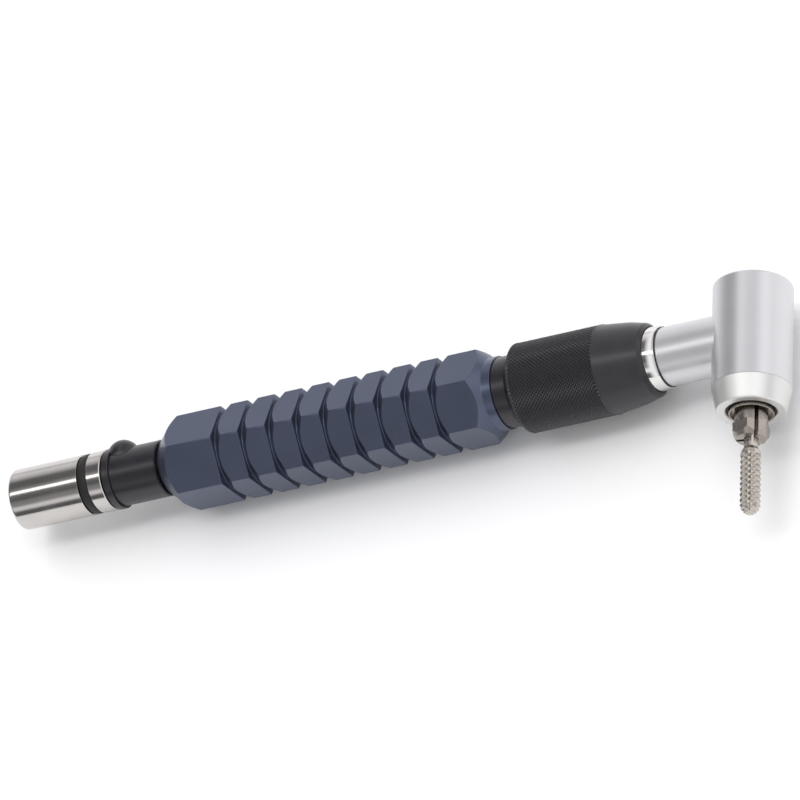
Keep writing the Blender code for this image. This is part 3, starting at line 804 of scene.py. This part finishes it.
class Head(bpy.types.Operator):
    """Turn the neck, the head that it enters, and the cap and seal that close the head"""
    bl_idname = "grinder.head"
    bl_label = "Angle head"

    def execute(self, context):
        neck = lathe([(NECK_FRONT, NECK_BORE), (NECK_FRONT, NECK_RADIUS),
                      (NECK_COLLAR_FRONT, NECK_RADIUS),
                      (NECK_COLLAR_FRONT, NECK_COLLAR_RADIUS),
                      (NECK_COLLAR_REAR, NECK_COLLAR_RADIUS), (NECK_COLLAR_REAR, NECK_BORE)])
        across = plug(-12, 12, HEAD_BORE + PLAY)
        bmesh.ops.transform(across, matrix=HANDLE.inverted() @ SPINDLE, verts=across.verts)
        lay(boolean(neck, "DIFFERENCE", across), "neck_sleeve", HANDLE, satin_aluminium(),
            "housing", "neck_tube")

        edge = 0.7
        outline = [(HEAD_TOP, 0), (HEAD_TOP, HEAD_RADIUS * 0.5)]
        outline += arc((HEAD_TOP + edge, HEAD_RADIUS - edge), edge, -90, 0, 6)
        outline += [(CAP_LINE - 0.08, HEAD_RADIUS), (CAP_LINE - 0.02, HEAD_RADIUS - 0.04),
                    (CAP_LINE - 0.02, HEAD_BORE), (HEAD_SHOULDER, HEAD_BORE),
                    (HEAD_SHOULDER, HEAD_POCKET), (HEAD_POCKET_END, HEAD_POCKET),
                    (HEAD_POCKET_END, 0)]
        hole = plug(2, 12, NECK_RADIUS + PLAY)
        bmesh.ops.transform(hole, matrix=SPINDLE.inverted() @ HANDLE, verts=hole.verts)
        lay(boolean(lathe(outline), "DIFFERENCE", hole), "head_shell", SPINDLE,
            satin_aluminium(), "housing", "head_housing")

        spigot = HEAD_BORE - PLAY
        lip = 0.45
        outline = [(CAP_SPIGOT_START, CAP_OPENING), (CAP_SPIGOT_START, spigot),
                   (CAP_LINE + 0.02, spigot),
                   (CAP_LINE + 0.02, HEAD_RADIUS - 0.05), (CAP_LINE + 0.08, HEAD_RADIUS - 0.02)]
        outline += arc((CAP_END - lip, CAP_END_RADIUS - lip + 0.08), lip, 20, 90, 5)
        outline += [(CAP_END, CAP_OPENING + 0.25), (CAP_END - 0.25, CAP_OPENING)]
        lay(lathe(outline), "head_cap", SPINDLE, pale_aluminium(), "housing",
            "bearing_cap")
        seal = tube(DUST_SEAL_START, CAP_END - 0.3, SPINDLE_NOSE_RADIUS + PLAY, CAP_OPENING - 0.09)
        lay(break_edges(seal, sizes().edge), "spindle_seal", SPINDLE, rubber(), "housing",
            "dust_seal")
        return {"FINISHED"}


class ToolEnd(bpy.types.Operator):
    """Turn the spindle, mill and slot the collet, and grind the burr's crossed flutes"""
    bl_idname = "grinder.tool_end"
    bl_label = "Spindle, collet and burr"

    def execute(self, context):
        outline = [(SPINDLE_START, 0), (SPINDLE_START, SPINDLE_JOURNAL),
                   (SPINDLE_JOURNAL_END, SPINDLE_JOURNAL), (SPINDLE_JOURNAL_END, SPINDLE_SEAT),
                   (SPINDLE_SEAT_END, SPINDLE_SEAT), (SPINDLE_SEAT_END, SPINDLE_SHOULDER),
                   (SPINDLE_NOSE_START, SPINDLE_SHOULDER),
                   (SPINDLE_NOSE_START, SPINDLE_NOSE_RADIUS),
                   (SPINDLE_END - 0.12, SPINDLE_NOSE_RADIUS),
                   (SPINDLE_END, SPINDLE_NOSE_RADIUS - 0.12),
                   (SPINDLE_END, SPINDLE_NOSE_RADIUS - 0.25),
                   (SPINDLE_DISH, SPINDLE_NOSE_RADIUS - 0.35), (SPINDLE_DISH, SPINDLE_BORE),
                   (SPINDLE_BORE_START, SPINDLE_BORE), (SPINDLE_BORE_START, 0)]
        lay(lathe(outline), "spindle_nose", SPINDLE, ground_steel(), "spindle_line",
            "spindle")

        over = COLLET_ACROSS_FLATS / 2 / cos(pi / HEX_SIDES) + 0.1
        outline = [(COLLET_START, COLLET_BORE), (COLLET_START, COLLET_BODY_RADIUS),
                   (COLLET_BODY_END, COLLET_BODY_RADIUS), (COLLET_BODY_END, COLLET_NECK_RADIUS),
                   (COLLET_HEX_START, COLLET_NECK_RADIUS), (COLLET_HEX_START, over),
                   (COLLET_END - 1.6, over), (COLLET_END, 3.2), (COLLET_END, COLLET_BORE)]
        collet = trim_to_hexagon(lathe(outline), COLLET_ACROSS_FLATS * MM, COLLET_SLOT_ANGLE)
        for slot in range(COLLET_SLOT_COUNT):
            angle = COLLET_SLOT_ANGLE + slot * 360 / COLLET_SLOT_COUNT
            saw = bar(0.5, 6, sizes().slot_width / MM, angle, 11, COLLET_END + 1)
            collet = boolean(collet, "DIFFERENCE", saw)
        lay(collet, "split_collet", SPINDLE, ground_steel(), "spindle_line",
            "collet")

        pitch = sizes().burr_pitch / MM
        teeth = sizes().burr_teeth
        start = BURR_SHOULDER + 1.7
        centre = BURR_TIP - BURR_RADIUS
        rows = 2 * round((centre - start) / pitch)
        row_length = (centre - start) / rows
        outline = [(SHANK_START, 0), (SHANK_START, SHANK_RADIUS),
                   (BURR_SHOULDER, SHANK_RADIUS), (BURR_SHOULDER + 0.8, 2.0)]
        outline += [(distance, BURR_RADIUS) for distance in stations(start, centre, rows)]
        nose_rows = round(BURR_RADIUS * pi / 2 / row_length)
        nose_step = 90 / nose_rows
        outline += arc((centre, 0), BURR_RADIUS, nose_step, 90 - nose_step, nose_rows - 2)
        outline.append((BURR_TIP, 0))

        def find(distance, radius):
            if distance < start - 0.01 or radius < 0.3:
                return 0, 0
            if distance <= centre + 0.01:
                return round((distance - start) / row_length), 1
            # Round the nose the rows go by angle, and the flutes run out towards the tip.
            row = rows + round(nose_rows * atan2(distance - centre, radius) / (pi / 2))
            return row, radius / BURR_RADIUS

        burr = cross_grooves(lathe(outline, 2 * teeth), 2 * teeth, sizes().burr_depth, find)
        lay(burr, "ball_nose_burr", SPINDLE, carbide(), "spindle_line", "burr",
            sharp=12)
        return {"FINISHED"}


class Insides(bpy.types.Operator):
    """Give the valve, the air motor and the drive line inside the grip their finishes"""
    bl_idname = "grinder.insides"
    bl_label = "Motor and drive line"

    def execute(self, context):
        finishes = {
            "valve_stem": black_oxide,
            "inlet_filter": sintered_bronze,
            "motor_spacer": satin_aluminium,
            "bearing_spacer": satin_aluminium,
        }
        for name in ("throttle_stop_pin", "motor_cylinder", "rear_end_plate", "front_end_plate",
                     "rotor", "drive_shaft", "shaft_coupling", "bevel_pinion", "bevel_gear"):
            finishes[name] = ground_steel
        for name in ("valve_seal_front", "valve_seal_rear"):
            finishes[name] = rubber
        for number in range(1, 5):
            finishes["vane_%d" % number] = vane_laminate
        for name in BEARINGS:
            finishes[name + "_bearing_inner_race"] = ground_steel
            finishes[name + "_bearing_outer_race"] = ground_steel
            finishes[name + "_bearing_ball_cage"] = brass
        for name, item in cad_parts.items():
            if name in finishes:
                for place in item.material_slots:
                    place.material = finishes[name]()
            elif not item.hide_render:
                raise RuntimeError("no finish for " + name)
        return {"FINISHED"}


# ---------------------------------------------------------------- stage

CAMERA_RIGHT = Vector((0.8849, 0.0187, -0.4654))
CAMERA_UP = Vector((0.1958, 0.8908, 0.4096))
CAMERA_BACK = Vector((0.4226, -0.4540, 0.7846))
AIM_RIGHT = -0.07467       # from the crossing of the axes to the middle of the view, in metres
AIM_UP = -0.0128
SENSOR_MM = 36.0
FLOOR_HALF = 4.0
KEY_OFFSET = Vector((-0.4, 1.1, 1.8))
KEY_SIZE = (3.2, 3.2)
STRIP_OFFSET = Vector((0, 0, 1.5))
STRIP_SIZE = (3.4, 0.26)

# The tent's brightness by degrees from straight up towards +Y, for the hose side.
TENT_BANDS = (
    (-90, 0.10), (-74, 0.14), (-65, 0.95), (-58, 0.95), (-49, 0.34), (-38, 0.30), (-26, 0.12),
    (-12, 0.18), (9, 0.3), (22, 0.14), (42, 0.16), (56, 0.62), (72, 0.95), (90, 0.7),
)
# The tent's brightness by how far a direction leans towards +X, for the head side.
TENT_PANELS = (
    (-0.9, 1.0), (-0.3, 1.15), (-0.1, 1.0), (0.15, 0.66), (0.55, 0.62), (0.72, 1.3),
    (0.86, 1.3), (0.95, 0.5),
)
BANDS_END = -0.34          # lean at which the bands start to give way to the panels
PANELS_START = -0.22


class Stage(bpy.types.Operator):
    """Lay the floor, hang the lights and set the camera"""
    bl_idname = "grinder.stage"
    bl_label = "Floor, light and camera"

    def execute(self, context):
        settings = context.scene.grinder_stage
        floor_mesh = bmesh.new()
        bmesh.ops.create_grid(floor_mesh, x_segments=8, y_segments=8, size=FLOOR_HALF)
        data = bpy.data.meshes.new("floor")
        floor_mesh.to_mesh(data)
        floor_mesh.free()
        data.materials.append(matt_paper())
        floor = bpy.data.objects.new("floor", data)
        context.collection.objects.link(floor)

        low, high = CAD_BOX
        middle = (Vector(low) + Vector(high)) / 2
        key = lamp(context, "key", middle + KEY_OFFSET, middle, KEY_SIZE, settings.key_power)
        # Polished metal mirrors the tent and the strip, and not the broad light.
        key.visible_glossy = False
        lamp(context, "strip", middle + STRIP_OFFSET, middle, STRIP_SIZE, settings.strip_power)
        hang_tent(context, settings.tent)

        camera_data = bpy.data.cameras.new("camera")
        camera_data.sensor_width = SENSOR_MM
        camera_data.lens = SENSOR_MM * settings.distance / settings.view_width
        camera_data.clip_start = settings.distance / 4
        camera_data.clip_end = settings.distance * 4
        camera = bpy.data.objects.new("camera", camera_data)
        context.collection.objects.link(camera)
        target = CROSSING + CAMERA_RIGHT * AIM_RIGHT + CAMERA_UP * AIM_UP
        turn = Matrix((CAMERA_RIGHT, CAMERA_UP, CAMERA_BACK)).transposed()
        camera.matrix_world = (Matrix.Translation(target + CAMERA_BACK * settings.distance)
                               @ turn.to_4x4())
        context.scene.camera = camera
        context.scene.view_settings.view_transform = "Standard"
        return {"FINISHED"}


def lamp(context, name, place, target, size, power):
    """A flat rectangular light that faces a point."""
    data = bpy.data.lights.new(name, "AREA")
    data.shape = "RECTANGLE"
    data.size, data.size_y = size
    data.energy = power
    item = bpy.data.objects.new(name, data)
    context.collection.objects.link(item)
    item.matrix_world = (Matrix.Translation(place)
                         @ (place - target).to_track_quat("Z", "Y").to_matrix().to_4x4())
    return item


def fill_ramp(ramp, marks):
    """Set a colour ramp's greys from (position, brightness) marks."""
    stops = ramp.color_ramp.elements
    while len(stops) < len(marks):
        stops.new(0.5)
    for stop, (position, brightness) in zip(stops, marks):
        stop.position = position
        stop.color = (brightness, brightness, brightness * 1.02, 1)


def hang_tent(context, strength):
    """Light from all round, in soft bands about the handle: what polished metal needs."""
    world = bpy.data.worlds.new("light_tent")
    context.scene.world = world
    world.use_nodes = True
    tree = world.node_tree
    tree.nodes.clear()
    way = node(tree, "ShaderNodeTexCoord").outputs["Generated"]
    parts = node(tree, "ShaderNodeSeparateXYZ", {"Vector": way}).outputs
    angle = node(tree, "ShaderNodeMath", {0: parts["Y"], 1: parts["Z"]}, operation="ARCTAN2")
    share = node(tree, "ShaderNodeMapRange",
                 {"Value": angle.outputs["Value"], "From Min": -pi, "From Max": pi})
    ramp = node(tree, "ShaderNodeValToRGB", {"Fac": share.outputs["Result"]})
    fill_ramp(ramp, [(degrees / 360 + 0.5, brightness) for degrees, brightness in TENT_BANDS])
    side = node(tree, "ShaderNodeMapRange",
                {"Value": parts["X"], "From Min": BANDS_END, "From Max": PANELS_START})
    across = node(tree, "ShaderNodeMapRange", {"Value": parts["X"], "From Min": -1})
    panels = node(tree, "ShaderNodeValToRGB", {"Fac": across.outputs["Result"]})
    fill_ramp(panels, [(lean / 2 + 0.5, brightness) for lean, brightness in TENT_PANELS])
    mix = node(tree, "ShaderNodeMix", {MIX_FACTOR: side.outputs["Result"],
                                       MIX_A: ramp.outputs["Color"],
                                       MIX_B: panels.outputs["Color"]}, data_type="RGBA")
    sky = node(tree, "ShaderNodeBackground",
               {"Color": mix.outputs[MIX_RESULT], "Strength": strength})
    node(tree, "ShaderNodeOutputWorld", {"Surface": sky.outputs["Background"]})


# ---------------------------------------------------------------- add-on

STEPS = (Adaptor, ThrottleRing, Grip, HeadJoint, Head, ToolEnd, Insides, Stage)


class GrinderPanel(bpy.types.Panel):
    """Lists the steps that build the die grinder"""
    bl_idname = "VIEW3D_PT_grinder"
    bl_label = "Die Grinder"
    bl_space_type = "VIEW_3D"
    bl_region_type = "UI"
    bl_category = "Die Grinder"

    def draw(self, context):
        layout = self.layout
        for step in STEPS:
            layout.operator(step.bl_idname)
        for group in (context.scene.grinder_sizes, context.scene.grinder_colours,
                      context.scene.grinder_stage):
            box = layout.box()
            for name in group.__annotations__:
                box.prop(group, name)


CLASSES = (GrinderSizes, GrinderColours, StageSettings, *STEPS, GrinderPanel)


def register():
    for item in CLASSES:
        bpy.utils.register_class(item)
    bpy.types.Scene.grinder_sizes = PointerProperty(type=GrinderSizes)
    bpy.types.Scene.grinder_colours = PointerProperty(type=GrinderColours)
    bpy.types.Scene.grinder_stage = PointerProperty(type=StageSettings)


def unregister():
    del bpy.types.Scene.grinder_stage
    del bpy.types.Scene.grinder_colours
    del bpy.types.Scene.grinder_sizes
    for item in reversed(CLASSES):
        bpy.utils.unregister_class(item)


def main():
    register()
    bpy.ops.grinder.adaptor()
    bpy.ops.grinder.throttle_ring()
    bpy.ops.grinder.grip()
    bpy.ops.grinder.head_joint()
    bpy.ops.grinder.head()
    bpy.ops.grinder.tool_end()
    bpy.ops.grinder.insides()
    bpy.ops.grinder.stage()


if __name__ == "__main__":
    main()
